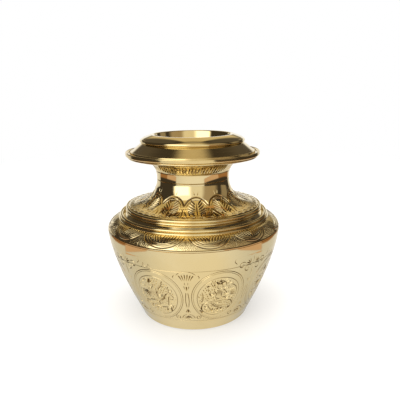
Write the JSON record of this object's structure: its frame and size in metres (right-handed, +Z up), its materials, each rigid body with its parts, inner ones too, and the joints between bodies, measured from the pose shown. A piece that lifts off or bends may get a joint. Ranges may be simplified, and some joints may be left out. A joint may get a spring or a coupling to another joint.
{
  "type": "brass kalash pot",
  "caption": "Round brass water pot with a wide engraved bowl, stepped shoulder, narrow waisted neck and a flared collar with an upturned lip, for ritual and household use.",
  "frame": {"origin": "centre of the plane that the foot stands on", "axes": "+Z up along the pot's turning axis; -Y faces the viewer of the front"},
  "size_m": [0.105, 0.105, 0.1107],
  "materials": {
    "bowl_brass": "polished, engraved",
    "shoulder_brass": "polished, engraved, darker in the cuts",
    "ring_brass": "bright turned",
    "neck_brass": "polished above, engraved at the foot",
    "collar_brass": "fine turned lines on the slope, polished lip",
    "mouth_brass": "polished",
    "braze": "dull, tarnished braze"
  },
  "bodies": {
    "root": {"bowl": "bowl_brass", "shoulder": "shoulder_brass", "lower_ring": "ring_brass", "upper_ring": "ring_brass", "neck": "neck_brass", "collar": "collar_brass", "mouth_ring": "mouth_brass", "belly_braze": "braze", "neck_braze": "braze", "collar_braze": "braze", "throat_braze": "braze"}
  },
  "joints": []
}
